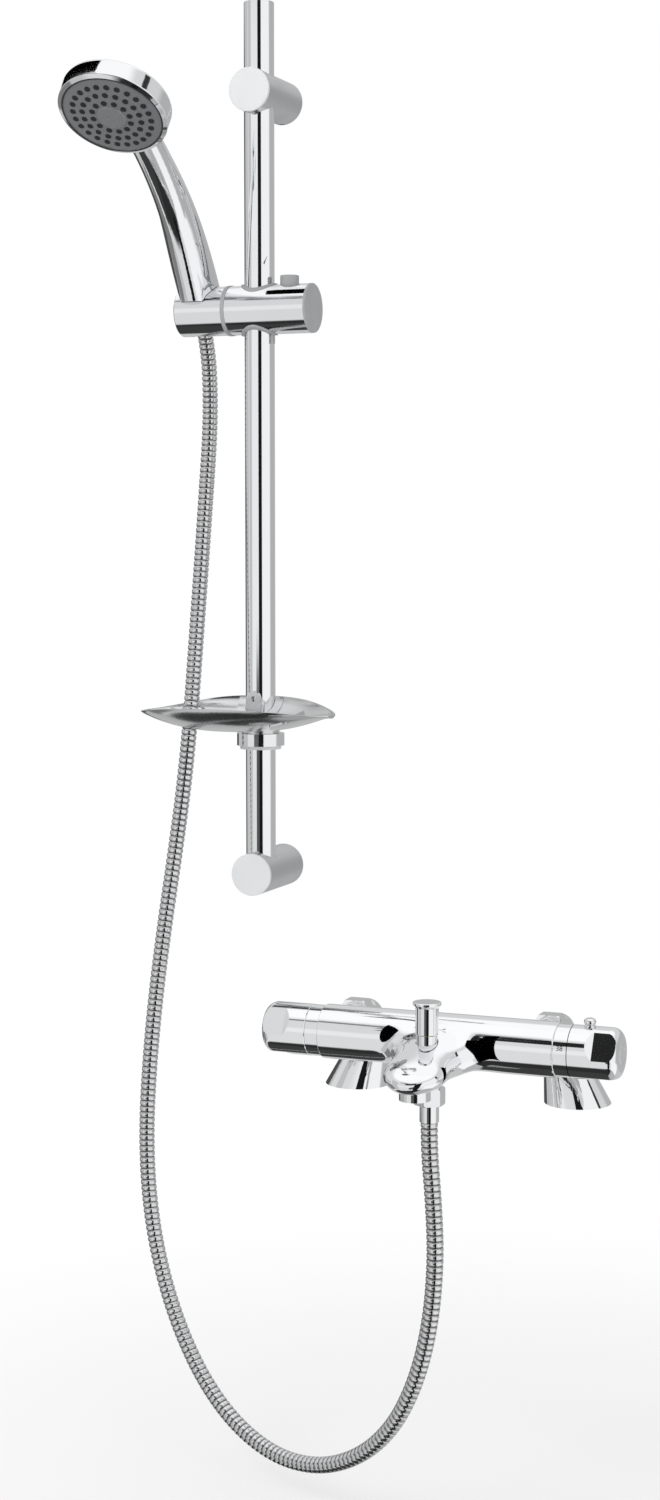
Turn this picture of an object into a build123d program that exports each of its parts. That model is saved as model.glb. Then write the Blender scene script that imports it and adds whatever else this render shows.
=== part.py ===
# Thermostatic bath shower mixer with a riser rail, hand shower, ribbed hose and soap dish.
# Millimetres. X runs along the wall to the right, Y into the wall, Z up.
# The origin lies on the bath's deck, midway between the two inlet legs.
import os
from math import atan2, cos, degrees, pi, radians, sin, sqrt, tan

from build123d import *

# Gaps shared by every piece
overrun = 6.0
seat = 0.05
running = 0.06
slip = 0.3

# Riser rail
rail_left = 218.0
rail_behind = 103.0
rail_radius = 12.5
rail_wall = 1.5
rail_top = 867.0
rail_x = -rail_left
rail_y = rail_behind
plug_thickness = 1.2
plug_length = 9.0
plug_wall = 1.6

# Wall brackets
wall_gap = 51.0
wall_y = rail_y + wall_gap
upper_bracket_below = 73.0
upper_bracket_z = rail_top - upper_bracket_below
lower_bracket_z = 148.0
bracket_radius = 17.8
bracket_reach = 21.6
bracket_edge = 0.5
rail_socket_depth = 12.0
rail_bottom = lower_bracket_z - rail_socket_depth
front_y = rail_y - bracket_reach
cap_thickness = 2.4
cap_edge = 0.5
cap_peg_radius = 5.0
cap_peg_length = 4.0
plate_radius = 13.4
plate_thickness = 8.0
plate_groove_depth = 0.9
plate_groove_width = 5.4
pocket_web = 4.5
wall_screw_radius = 2.6
screw_head_radius = 5.2
screw_head_depth = 3.4
grub_radius = 2.5
grub_inset = 0.8
grub_socket_radius = 1.4
grub_socket_depth = 1.8


def along_x(radius, low, high, y, z):
    length = high - low
    turned = Pos(low, y, z) * Rot(0, 90, 0)
    return turned * Cylinder(radius, length, align=(Align.CENTER, Align.CENTER, Align.MIN))


def along_y(radius, low, high, x, z):
    length = high - low
    turned = Pos(x, low, z) * Rot(-90, 0, 0)
    return turned * Cylinder(radius, length, align=(Align.CENTER, Align.CENTER, Align.MIN))


def along_z(radius, low, high, x=0, y=0):
    length = high - low
    return Pos(x, y, low) * Cylinder(radius, length, align=(Align.CENTER, Align.CENTER, Align.MIN))


def block(low, high):
    size = [b - a for a, b in zip(low, high)]
    return Pos(*low) * Box(*size, align=(Align.MIN, Align.MIN, Align.MIN))


def revolved(points, axis=Axis.Z):
    # A solid of revolution from (radius, height) points in the XZ plane
    outline = Polyline(*[(radius, 0, height) for radius, height in points], close=True)
    return revolve(make_face(outline), axis)


def hexagon(across_flats, height):
    # A hexagon nut blank with flats facing +X and -X, standing on its local XY plane
    corner = across_flats / 2 / cos(pi / 6)
    blank = extrude(RegularPolygon(corner, 6, rotation=30), height)
    turned = revolved([(0, 0), (corner - nut_chamfer, 0), (corner, nut_chamfer),
                       (corner, height - nut_chamfer), (corner - nut_chamfer, height), (0, height)])
    return blank & turned


def coil_spring(coil_radius, wire_radius, turns, length):
    # An open compression spring standing on its local XY plane
    climb = length - 2 * wire_radius
    path = Pos(0, 0, wire_radius) * Helix(climb / turns, climb, coil_radius)
    start = Plane(origin=path @ 0, x_dir=(1, 0, 0), z_dir=path % 0)
    return sweep(start * Rectangle(2 * wire_radius, 2 * wire_radius), path=path, is_frenet=True)


nut_chamfer = 0.8


def keep(shape, name):
    export_step(shape, os.path.join("parts", name + ".step"))


def rail_tube():
    tube = along_z(rail_radius, rail_bottom, rail_top - plug_thickness, rail_x, rail_y)
    return tube - along_z(rail_radius - rail_wall, rail_bottom - overrun, rail_top, rail_x, rail_y)


def rail_plug():
    under = rail_top - plug_thickness
    bore = rail_radius - rail_wall - seat
    head = along_z(rail_radius, under, rail_top, rail_x, rail_y)
    head = chamfer(head.edges().group_by(Axis.Z)[-1], cap_edge / 2)
    stem = along_z(bore, under - plug_length, under, rail_x, rail_y)
    stem -= along_z(bore - plug_wall, under - plug_length - overrun, under - plug_wall, rail_x, rail_y)
    return head + stem


def bracket(z, rail_low, rail_high):
    body = along_y(bracket_radius, front_y + cap_thickness, wall_y, rail_x, z)
    body = chamfer(body.edges().group_by(Axis.Y)[-1], bracket_edge)
    body -= along_z(rail_radius + seat, rail_low, rail_high, rail_x, rail_y)
    pocket_start = rail_y + rail_radius + pocket_web
    body -= along_y(plate_radius + seat, pocket_start, wall_y + overrun, rail_x, z)
    peg_end = front_y + cap_thickness + cap_peg_length + seat
    body -= along_y(cap_peg_radius + seat, front_y, peg_end, rail_x, z)
    grub_end = z - plate_radius + plate_groove_depth
    body -= along_z(grub_radius + seat, z - bracket_radius - overrun, grub_end, rail_x, grub_y)
    return body


def bracket_cap(z):
    disc = along_y(bracket_radius, front_y, front_y + cap_thickness, rail_x, z)
    disc = fillet(disc.edges().group_by(Axis.Y)[0], cap_edge)
    peg_start = front_y + cap_thickness
    return disc + along_y(cap_peg_radius, peg_start, peg_start + cap_peg_length, rail_x, z)


def wall_plate(z):
    front = wall_y - plate_thickness
    plate = along_y(plate_radius, front, wall_y, rail_x, z)
    groove = along_y(plate_radius + overrun, grub_y - plate_groove_width / 2,
                     grub_y + plate_groove_width / 2, rail_x, z)
    groove -= along_y(plate_radius - plate_groove_depth, front, wall_y, rail_x, z)
    plate -= groove
    plate -= along_y(wall_screw_radius, front - overrun, wall_y + overrun, rail_x, z)
    return plate - along_y(screw_head_radius, front - overrun, front + screw_head_depth, rail_x, z)


def grub_screw(z):
    top = z - plate_radius + plate_groove_depth - seat
    bottom = z - bracket_radius + grub_inset
    screw = along_z(grub_radius, bottom, top, rail_x, grub_y)
    socket = Pos(rail_x, grub_y, bottom) * extrude(RegularPolygon(grub_socket_radius, 6), grub_socket_depth)
    return screw - socket


grub_y = wall_y - plate_thickness / 2

# Slider on the rail
slider_z = 618.0
slider_radius = 20.25
slider_right = 48.4
swivel_offset = 24.0
end_cap_thickness = 1.8
end_cap_edge = 0.3
end_cap_spigot = 6.0
end_cap_wall = 2.0
cavity_radius = 13.0
cavity_start = 16.0
bush_wall = 2.6
bush_play = 0.1
bush_lip = 1.0
tongue_width = 3.0
tongue_length = 8.0
tongue_angle = -15.5
shoe_radius = 7.8
shoe_end = 21.0
button_offset = 27.0
button_radius = 7.8
button_height = 10.2
button_base = 17.0
button_edge = 0.7
button_stem_radius = 4.6
button_stem_length = 12.0
button_pocket_depth = 3.4
spring_radius = 3.6
spring_wire = 0.5
spring_turns = 4
pin_radius = 5.0
pin_grip = 8.0
ring_thickness = 3.2
ring_proud = 0.5

slider_right_x = rail_x + slider_right
slider_left_x = rail_x - swivel_offset
bush_outer = rail_radius + bush_play + bush_wall
button_x = rail_x + button_offset
button_bottom = slider_z + button_base
pocket_floor = button_bottom - button_pocket_depth
stem_bottom = button_bottom - button_stem_length
pin_right_x = slider_left_x + pin_grip
pin_left_x = slider_left_x - ring_thickness - pin_grip


def slider_body():
    body = along_x(slider_radius, slider_left_x, slider_right_x - end_cap_thickness, rail_y, slider_z)
    reach = 2 * slider_radius
    body -= along_z(bush_outer + seat, slider_z - reach, slider_z + reach, rail_x, rail_y)
    cavity_x = rail_x + cavity_start
    body -= along_x(cavity_radius, cavity_x, slider_right_x, rail_y, slider_z)
    body -= along_x(shoe_radius + slip, rail_x, cavity_x + seat, rail_y, slider_z)
    body -= along_z(button_radius + slip, pocket_floor, slider_z + reach, button_x, rail_y)
    body -= along_z(button_stem_radius + running, slider_z, slider_z + reach, button_x, rail_y)
    return body - along_x(pin_radius + seat, slider_left_x - overrun, pin_right_x + seat, rail_y, slider_z)


def slider_bush():
    outside = along_x(slider_radius + bush_lip, rail_x - bush_outer, rail_x + bush_outer, rail_y, slider_z)
    reach = 2 * slider_radius
    bush = along_z(bush_outer, slider_z - reach, slider_z + reach, rail_x, rail_y) & outside
    tongue_low = slider_z - slider_radius - tongue_length
    tongue = along_z(bush_outer, tongue_low, slider_z, rail_x, rail_y)
    slab = Pos(rail_x, rail_y, tongue_low) * Rot(0, 0, tongue_angle) * Box(
        2 * bush_outer, tongue_width, reach, align=(Align.MIN, Align.CENTER, Align.MIN))
    bush += tongue & slab
    bush -= along_z(rail_radius + bush_play, slider_z - reach, slider_z + reach, rail_x, rail_y)
    return bush - along_x(shoe_radius + slip, rail_x, rail_x + 2 * bush_outer, rail_y, slider_z)


def clamp_shoe():
    shoe = along_x(shoe_radius, rail_x, rail_x + shoe_end, rail_y, slider_z)
    reach = 2 * shoe_radius
    return shoe - along_z(rail_radius + slip, slider_z - reach, slider_z + reach, rail_x, rail_y)


def slider_end_cap():
    face_x = slider_right_x - end_cap_thickness
    disc = along_x(slider_radius, face_x, slider_right_x, rail_y, slider_z)
    disc = chamfer(disc.edges().group_by(Axis.X)[-1], end_cap_edge)
    spigot = along_x(cavity_radius - seat, face_x - end_cap_spigot, face_x, rail_y, slider_z)
    inner = cavity_radius - end_cap_wall
    spigot -= along_x(inner, face_x - end_cap_spigot - overrun, face_x, rail_y, slider_z)
    return disc + spigot


def slider_button():
    head = along_z(button_radius, button_bottom, button_bottom + button_height, button_x, rail_y)
    head = fillet(head.edges().group_by(Axis.Z)[-1], button_edge)
    return head + along_z(button_stem_radius, stem_bottom, button_bottom, button_x, rail_y)


def button_spring():
    floor = slider_z - cavity_radius
    length = stem_bottom - floor
    return Pos(button_x, rail_y, floor + seat) * coil_spring(
        spring_radius, spring_wire, spring_turns, length - 2 * seat)


def swivel_pin():
    return along_x(pin_radius, pin_left_x, pin_right_x, rail_y, slider_z)


def swivel_ring():
    radius = slider_radius + ring_proud
    ring = along_x(radius, slider_left_x - ring_thickness, slider_left_x, rail_y, slider_z)
    return ring - along_x(pin_radius + seat, pin_left_x, pin_right_x, rail_y, slider_z)


# Handset holder: a short cylinder on the slider's swivel, with a sloping cone bore
holder_reach = 69.8
holder_offset = 53.5
cone_tilt = 24.4
cone_top_radius = 12.4
cone_bottom_radius = 10.6
cone_top = 15.5
cone_bottom = -16.0
liner_wall = 1.1
hose_slot_width = 14.6
holder_edge = 0.8

holder_left_x = rail_x - holder_reach
holder_right_x = slider_left_x - ring_thickness - slip / 2
holder_x = rail_x - holder_offset
grip = Pos(holder_x, rail_y, slider_z) * Rot(cone_tilt, 0, 0)
cone_slope = (cone_top_radius - cone_bottom_radius) / (cone_top - cone_bottom)


def cone(extra, low, high):
    # The cone bore's own taper, grown by extra, between two heights along the bore
    low_radius = cone_bottom_radius + extra + cone_slope * (low - cone_bottom)
    high_radius = cone_bottom_radius + extra + cone_slope * (high - cone_bottom)
    return revolved([(0, low), (low_radius, low), (high_radius, high), (0, high)])


def hose_slot():
    reach = 2 * slider_radius
    return Pos(0, 0, -reach) * Box(2 * holder_reach, hose_slot_width, 2 * reach,
                                   align=(Align.MAX, Align.CENTER, Align.MIN))


def handset_holder():
    body = along_x(slider_radius, holder_left_x, holder_right_x, rail_y, slider_z)
    body = chamfer(body.edges().group_by(Axis.X)[0], holder_edge)
    reach = 2 * slider_radius
    body -= grip * cone(slip + liner_wall + seat, -reach, reach)
    body -= grip * hose_slot()
    pin_hole = pin_radius + running
    return body - along_x(pin_hole, pin_left_x - slip, holder_right_x + overrun, rail_y, slider_z)


def holder_liner():
    reach = 2 * slider_radius
    sleeve = cone(slip + liner_wall, -reach, reach) - cone(slip, -reach - overrun, reach + overrun)
    sleeve = grip * (sleeve - hose_slot())
    return sleeve & along_x(slider_radius, holder_left_x, holder_right_x, rail_y, slider_z)


# Hand shower: a shallow drum on a handle with a round front and a wider back
handle_run = 128.0
handle_rise = 137.0
run_shares = [0.004, 0.078, 0.183, 0.386, 0.651, 0.809, 1.0]
rise_shares = [0.02, 0.146, 0.296, 0.559, 0.803, 0.917, 1.0]
tube_radii = [12.9, 12.7, 12.5, 12.6, 12.5, 12.7, 12.9]
front_depths = [20.5, 19.0, 16.9, 14.3, 13.4, 13.6, 13.8]
back_half_widths = [16.7, 16.8, 16.5, 14.4, 11.6, 11.0, 10.8]
back_depths = [24.0, 23.8, 23.2, 20.0, 16.0, 13.5, 11.4]
back_set_share = 0.16
handle_foot = 7.0
handle_wall = 4.0
face_forward = 159.8
face_up = 137.7
face_lean = 33.5
drum_radius = 43.3
drum_back_radius = 43.8
drum_depth = 15.5
drum_back_fillet = 3.0
bezel_radius = 43.6
bezel_side = 0.9
bezel_height = 2.4
bezel_slope = 3.2
bezel_edge = 0.8
plate_face_radius = 39.0
plate_face_thickness = 1.9
plate_dome = 2.8
head_pocket_depth = 9.0
head_pocket_radius = 37.4
nozzle_counts = [12, 18, 24]
nozzle_circle_shares = [0.395, 0.6, 0.8]
nozzle_radius = 2.4
nozzle_proud = 0.5
nozzle_length = 3.6
nozzle_sides = 8
centre_disc_radius = 11.5
centre_disc_proud = 0.4
centre_disc_sink = 1.2
inlet_radius = 10.2
inlet_bore = 6.0
inlet_low = 10.0
inlet_high = 36.0
saddle_gap = 0.4

head = Pos(holder_x, rail_y - face_forward, slider_z + face_up) * Rot(180 - face_lean, 0, 0)


def handle_stations():
    # Centre points of the handle in its own upright plane, and the lean of the handle at each
    points = [(-handle_run * run, handle_rise * rise) for run, rise in zip(run_shares, rise_shares)]
    stations = []
    for index, (y, z) in enumerate(points):
        before = points[max(index - 1, 0)]
        after = points[min(index + 1, len(points) - 1)]
        lean = degrees(atan2(before[0] - after[0], after[1] - before[1]))
        stations.append((y, z, lean))
    return stations


def handle():
    tube_sections = []
    back_sections = []
    for index, (y, z, lean) in enumerate(handle_stations()):
        spot = Pos(holder_x, rail_y + y, slider_z + z) * Rot(lean, 0, 0)
        tube = tube_radii[index]
        depth = back_depths[index]
        set_back = depth * back_set_share
        tube_sections.append(spot * Pos(0, tube - front_depths[index], 0) * Circle(tube))
        back_sections.append(spot * Pos(0, set_back, 0) * Ellipse(back_half_widths[index], depth - set_back))
    return loft(tube_sections) + loft(back_sections)


def handle_hollow():
    # The water way along the handle's round front tube, from the inlet to the head
    sections = []
    for index, (y, z, lean) in enumerate(handle_stations()):
        spot = Pos(holder_x, rail_y + y, slider_z + z) * Rot(lean, 0, 0)
        tube = tube_radii[index]
        sections.append(spot * Pos(0, tube - front_depths[index], 0) * Circle(tube - handle_wall))
    return loft(sections[1:])


def drum():
    # The drum stands behind the bezel, along the head's own axis, which points out of the spray face
    outline = [(0, 0), (drum_radius, 0), (drum_back_radius, -drum_depth), (0, -drum_depth)]
    solid = revolved(outline)
    return head * fillet(solid.edges().group_by(Axis.Z)[0], drum_back_fillet)


def handset_body():
    # The handle's foot follows the holder and ends level in front of it
    body = handle() + drum() - handle_hollow()
    clear = slider_radius + saddle_gap
    left = holder_left_x - overrun
    right = holder_right_x + overrun
    body -= along_x(clear, left, right, rail_y, slider_z)
    body -= block((left, rail_y - 2 * clear, slider_z - clear), (right, rail_y, slider_z + handle_foot))
    body -= grip * along_z(inlet_radius + seat, 0, inlet_high)
    return body - head * along_z(head_pocket_radius, -head_pocket_depth, overrun)


def handset_bezel():
    inner = plate_face_radius + seat
    ring = revolved([(inner, 0), (bezel_radius, 0), (bezel_radius, bezel_side),
                     (bezel_radius - bezel_slope, bezel_height), (inner, bezel_height)])
    rim = ring.edges().filter_by(lambda edge: abs(edge.center().Z - bezel_side) < seat)
    return head * fillet(rim, bezel_edge)


def face_sphere():
    # Radius of the sphere that gives the plate its crown
    return (plate_face_radius ** 2 + plate_dome ** 2) / (2 * plate_dome)


def face_height(radius):
    # Height of the crowned plate's face at that radius
    ball = face_sphere()
    return plate_face_thickness + sqrt(ball ** 2 - radius ** 2) - (ball - plate_dome)


def nozzle_spots():
    return [(plate_face_radius * share * cos(2 * pi * step / count),
             plate_face_radius * share * sin(2 * pi * step / count),
             plate_face_radius * share)
            for count, share in zip(nozzle_counts, nozzle_circle_shares) for step in range(count)]


def nozzle_prism(x, y, radius, gap):
    # An eight-sided nozzle, or with a gap the recess that it sits in
    low = face_height(radius) + nozzle_proud - nozzle_length - gap
    outline = RegularPolygon(nozzle_radius + gap, nozzle_sides)
    return Pos(x, y, low) * extrude(outline, nozzle_length + 2 * gap)


def spray_plate():
    ball = face_sphere()
    centre = plate_face_thickness + plate_dome - ball
    plate = along_z(plate_face_radius, 0, plate_face_thickness + plate_dome)
    plate &= Pos(0, 0, centre) * Sphere(ball)
    plate -= along_z(centre_disc_radius + seat, face_height(0) - centre_disc_sink, face_height(0) + overrun)
    holes = [nozzle_prism(x, y, radius, seat) for x, y, radius in nozzle_spots()]
    return head * (plate - holes)


def spray_nozzles():
    return Compound([head * nozzle_prism(x, y, radius, 0) for x, y, radius in nozzle_spots()])


def spray_centre():
    top = face_height(0) + centre_disc_proud
    disc = along_z(centre_disc_radius, face_height(0) - centre_disc_sink, top)
    return head * chamfer(disc.edges().group_by(Axis.Z)[-1], centre_disc_proud)


def handset_inlet():
    tube = along_z(inlet_radius, inlet_low, inlet_high - seat)
    return grip * (tube - along_z(inlet_bore, inlet_low - overrun, inlet_high + overrun))


# Hose fittings at the handset
washer_thickness = 2.0
ferrule_radius = 6.8
ferrule_flange_radius = 9.6
ferrule_flange = 2.0
hose_bore = 4.4
hose_top = -13.0

nut_shoulder = inlet_low - washer_thickness
ferrule_top = nut_shoulder


def hose_cone_nut():
    nut = cone(0, cone_bottom, cone_top)
    nut -= along_z(inlet_radius + seat, ferrule_top - ferrule_flange, cone_top + overrun)
    return grip * (nut - along_z(ferrule_radius + running, cone_bottom - overrun, cone_top))


def inlet_washer():
    washer = along_z(inlet_radius, nut_shoulder, inlet_low)
    return grip * (washer - along_z(hose_bore, nut_shoulder - overrun, inlet_low + overrun))


def hose_upper_ferrule():
    flange = along_z(ferrule_flange_radius, ferrule_top - ferrule_flange, ferrule_top)
    stem = along_z(ferrule_radius, hose_top, ferrule_top)
    return grip * (flange + stem - along_z(hose_bore, hose_top - overrun, ferrule_top + overrun))


# Soap dish on its own collar
dish_z = 271.0
dish_ahead = 49.0
dish_wall = 1.8
dish_rights = [0.0, 21.0, 42.0, 57.0, 69.0, 77.3, 84.0]
dish_half_depths = [55.0, 53.5, 48.5, 41.0, 31.0, 20.5, 8.0]
dish_fronts = [21.8, 21.4, 20.2, 18.8, 17.2, 16.2, 15.6]
dish_backs = [26.6, 25.8, 23.8, 21.0, 18.4, 16.8, 15.8]
dish_floors = [0.0, 0.4, 2.8, 6.0, 9.6, 12.2, 12.9]
bowl_round_share = 0.8
boss_radius = 20.0
ring_lift = 1.5
neck_top = 294.0
guide_left = 51.5
guide_back = 21.0
guide_half_width = 12.0
guide_length = 36.0
drain_radius = 2.0
drain_rights = [6.5, 57.5]
drain_aheads = [90.0, 80.0]
drain_slot_length = 14.0
drain_slot_width = 4.0
drain_slot_right = 48.0
drain_slot_ahead = 82.0
tab_width = 13.0
tab_top = 302.0
tab_thickness = 2.4
tab_hole_radius = 2.2
rib_start = 26.0
rib_end = 60.0
rib_feet = (1.5, 8.2)
rib_heights = (3.4, 19.0)
rib_thickness = 2.6
tab_foot = 8.2
collar_radius = 20.0
collar_top = 266.0
collar_height = 10.2
collar_web = 2.4
dish_bush_radius = 17.3
dish_bush_drop = 3.0
neck_wall = 3.0

dish_y = rail_y - dish_ahead
guide_x = rail_x - guide_left
guide_y = dish_y + guide_back
collar_bottom = collar_top - collar_height


def bowl(wall, extra):
    # The volume inside the dish's outline, or with a wall and extra height the hollow above it
    sections = []
    measures = list(zip(dish_rights, dish_half_depths, dish_fronts, dish_backs, dish_floors))
    for sign, run in ((-1, measures[:0:-1]), (1, measures)):
        for right, half, front, back, floor in run:
            x = rail_x + sign * right * (1 - wall / dish_rights[-1])
            side = half - wall
            swing = side * bowl_round_share
            dip = (8 * (floor + wall) - front - back) / 6
            corners = [(-side, front), (-swing, dip), (swing, dip), (side, back)]
            curve = Bezier(*[(x, dish_y + y, dish_z + z) for y, z in corners])
            roof = [curve @ 1, curve @ 1 + Vector(0, 0, extra), curve @ 0 + Vector(0, 0, extra), curve @ 0]
            top = Polyline(*roof) if extra else Line(curve @ 1, curve @ 0)
            sections.append(make_face([curve, top]))
    return loft(sections)


def dish_rib(side):
    # A ramp that lifts the soap clear of the bowl
    near = rail_x + side * rib_start
    far = rail_x + side * rib_end
    points = [(near, rib_feet[0]), (far, rib_feet[1]), (far, rib_heights[1]), (near, rib_heights[0])]
    outline = make_face(Polyline(*[(x, 0, dish_z + z) for x, z in points], close=True))
    return Pos(0, dish_y, 0) * extrude(outline, rib_thickness / 2, both=True)


def dish_tab():
    # The arched tab that stands before the rail
    front = rail_y - rail_radius - 2 * slip - tab_thickness
    middle = tab_top - tab_width / 2
    tab = along_y(tab_width / 2, front, front + tab_thickness, rail_x, middle)
    tab += block((rail_x - tab_width / 2, front, dish_z + tab_foot),
                 (rail_x + tab_width / 2, front + tab_thickness, middle))
    return tab - along_y(tab_hole_radius, front - overrun, front + tab_thickness + overrun, rail_x, middle)


def soap_dish():
    outside = bowl(0, 0)
    hollow = bowl(dish_wall, 2 * overrun)
    ring = along_z(boss_radius, dish_z, tab_top, rail_x, rail_y) & outside
    neck = along_z(rail_radius + slip + neck_wall, collar_top + slip / 2, neck_top, rail_x, rail_y)
    dish = (ring + neck - Pos(0, 0, ring_lift) * hollow) + (outside - hollow)
    dish += dish_tab() + dish_rib(-1) + dish_rib(1)
    low = collar_top - overrun
    dish -= along_z(rail_radius + slip, low, tab_top + overrun, rail_x, rail_y)
    guide = SlotOverall(guide_length, 2 * guide_half_width, rotation=90)
    dish -= Pos(guide_x, guide_y, low) * extrude(guide, tab_top - low)
    slot = SlotOverall(drain_slot_length, drain_slot_width)
    dish -= Pos(rail_x + drain_slot_right, rail_y - drain_slot_ahead, low) * extrude(slot, tab_top - low)
    drains = [along_z(drain_radius, low, tab_top, rail_x + right, rail_y - ahead)
              for right, ahead in zip(drain_rights, drain_aheads)]
    return dish - drains


def dish_collar():
    ring = along_z(collar_radius, collar_bottom, collar_top, rail_x, rail_y)
    pocket_top = collar_top - collar_web
    ring -= along_z(dish_bush_radius + seat, collar_bottom - overrun, pocket_top, rail_x, rail_y)
    return ring - along_z(rail_radius + slip, collar_bottom, collar_top + overrun, rail_x, rail_y)


def dish_bush():
    low = collar_bottom - dish_bush_drop
    bush = along_z(dish_bush_radius, low, collar_top - collar_web - seat, rail_x, rail_y)
    return bush - along_z(rail_radius + bush_play, low - overrun, collar_top, rail_x, rail_y)


# Mixer body: a round bar with the bath spout on its front
bar_ahead = 61.0
bar_z = 53.0
bar_radius = 20.8
bar_half_length = 93.0
bar_edge = 0.6
bar_y = -bar_ahead
spout_reach = 80.0
spout_aheads = [0.0, 8.0, 13.0, 18.0, 24.0, 31.0, 41.0, 53.0, 63.0, 70.0, 75.5, 78.8]
spout_half_widths = [57.0, 55.0, 50.0, 41.0, 31.5, 26.0, 23.4, 23.5, 22.6, 19.5, 14.3, 8.4]
spout_tops = [71.0, 69.8, 67.6, 64.9, 62.0, 59.2, 55.8, 51.6, 47.9, 44.6, 41.0, 37.6]
spout_sides = [53.0, 52.5, 51.0, 48.5, 46.0, 43.5, 40.5, 38.2, 37.2, 36.6, 35.6, 34.4]
spout_floors = [33.0, 31.5, 30.0, 28.6, 27.4, 26.6, 26.0, 26.0, 26.0, 26.3, 27.6, 30.0]
spout_tip_z = 33.4
aerator_seat_z = 27.0
top_round_shares = (0.72, 0.62)
floor_round_shares = (0.6, 0.5)
cavity_gap = 0.15
inlet_spacing = 156.0
inlet_height = 60.2
inlet_passage_radius = 7.0
inlet_boss_radius = 12.1
inlet_boss_length = 7.5
chamber_radius = 8.4
chamber_floor = 29.0
chamber_roof = 49.5
diverter_ahead = 31.0
outlet_ahead = 25.0
aerator_ahead = 57.0
passage_radius = 4.5
passage_z = 41.0
diverter_y = bar_y - diverter_ahead
outlet_y = bar_y - outlet_ahead
aerator_y = bar_y - aerator_ahead
cartridge_radius = 14.4
cartridge_flange_radius = 18.0
cartridge_flange = 2.4
flow_cartridge_length = 50.0
thermo_cartridge_length = 62.0
cartridge_nose_radius = 8.5
cartridge_nose_length = 24.0
spindle_radius = 4.0


def spout_section(ahead, half, top, side, floor):
    # One upright slice of the spout: a flat-topped oval of four curves
    curves = []
    for end, shares in ((top, top_round_shares), (floor, floor_round_shares)):
        across, up = shares
        for sign in (1, -1):
            points = [(0, end), (sign * half * across, end),
                      (sign * half, side + (end - side) * up), (sign * half, side)]
            curves.append(Bezier(*[(x, bar_y - ahead, z) for x, z in points]))
    return make_face(curves)


def spout():
    measures = zip(spout_aheads, spout_half_widths, spout_tops, spout_sides, spout_floors)
    sections = [spout_section(*measure) for measure in measures]
    return loft(sections + [Vertex(0, bar_y - spout_reach, spout_tip_z)])


def inlet_x(side):
    return side * inlet_spacing / 2


def mixer_body():
    body = along_x(bar_radius, -bar_half_length, bar_half_length, bar_y, bar_z)
    body = chamfer(body.edges().sort_by(Axis.X)[0], bar_edge)
    body = chamfer(body.edges().sort_by(Axis.X)[-1], bar_edge)
    boss_end = bar_y + bar_radius + inlet_boss_length
    for side in (-1, 1):
        body += along_y(inlet_boss_radius, bar_y, boss_end, inlet_x(side), inlet_height)
    body += spout()
    flow_end = bar_half_length - flow_cartridge_length - seat
    body -= along_x(cartridge_radius + cavity_gap, -bar_half_length - overrun, -flow_end, bar_y, bar_z)
    thermo_end = bar_half_length - thermo_cartridge_length - seat
    body -= along_x(cartridge_radius + cavity_gap, thermo_end, bar_half_length + overrun, bar_y, bar_z)
    flange_start = bar_half_length - cartridge_flange
    for side in (-1, 1):
        body -= span_x(cartridge_flange_radius + cavity_gap, side, flange_start, bar_half_length + overrun)
    for side in (-1, 1):
        body -= along_y(inlet_passage_radius, bar_y, boss_end + overrun, inlet_x(side), inlet_height)
    body -= along_z(chamber_radius, chamber_floor, chamber_roof, 0, diverter_y)
    body -= along_z(bush_thread_radius + seat, chamber_roof - seat, bar_z + bar_radius, 0, diverter_y)
    body -= along_z(aerator_thread_radius + seat, aerator_low, aerator_top + seat, 0, aerator_y)
    body -= along_z(aerator_radius + seat, aerator_low, aerator_seat_z, 0, aerator_y)
    body -= along_x(passage_radius, -flow_end - overrun, thermo_end + overrun, bar_y, bar_z)
    body -= along_y(passage_radius, aerator_y, bar_y, 0, passage_z)
    return body - along_z(nipple_radius + seat, nipple_low, nipple_top + seat, 0, outlet_y)


# Rings and handles at the bar's ends
ring_width = 10.2
ring_radius = 19.6
handle_radius = 19.8
handle_length = 37.2
handle_end_fillet = 8.0
handle_mouth_chamfer = 0.4
handle_cavity_radius = 14.2
handle_cavity_depth = 23.0
recess_plane = 16.6
recess_length = 24.0
recess_ramp = 5.2
recess_angles = [27.0, 147.0, 267.0]
spindle_reach = 30.0
spindle_flat = 1.0
spindle_depth = 15.0
handle_screw_radius = 2.0
handle_screw_length = 8.0
handle_screw_head = 3.6
handle_screw_head_height = 2.6
handle_cap_radius = 7.75
handle_cap_thickness = 1.6
handle_cap_edge = 0.5
override_reach = 12.5
override_radius = 4.5
override_top = 78.6
override_stem_low = 66.8
override_flange_radius = 5.4
override_flange = 0.9
override_neck = 73.2
override_waist = 73.9
override_waist_radius = 3.4
override_ball = 76.4
override_flat_radius = 2.6
override_spring_radius = 3.4
override_spring_wire = 0.3
override_spring_turns = 3

handle_inner_x = bar_half_length + ring_width + slip
handle_outer_x = handle_inner_x + handle_length
cap_inner_x = handle_outer_x - handle_cap_thickness
screw_head_x = cap_inner_x - handle_screw_head_height - seat
spindle_end_x = handle_inner_x + spindle_reach
nose_end_x = bar_half_length + cartridge_nose_length
spindle_start_x = nose_end_x - spindle_depth
override_x = handle_inner_x + override_reach


def span_x(radius, side, low, high):
    # A bar-axis cylinder between two distances from the middle, on the left (-1) or the right (1)
    ends = sorted((side * low, side * high))
    return along_x(radius, ends[0], ends[1], bar_y, bar_z)


def stop_ring(side):
    ring = span_x(ring_radius, side, bar_half_length, bar_half_length + ring_width)
    return ring - span_x(cartridge_radius, side, bar_half_length - overrun, handle_inner_x + overrun)


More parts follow.
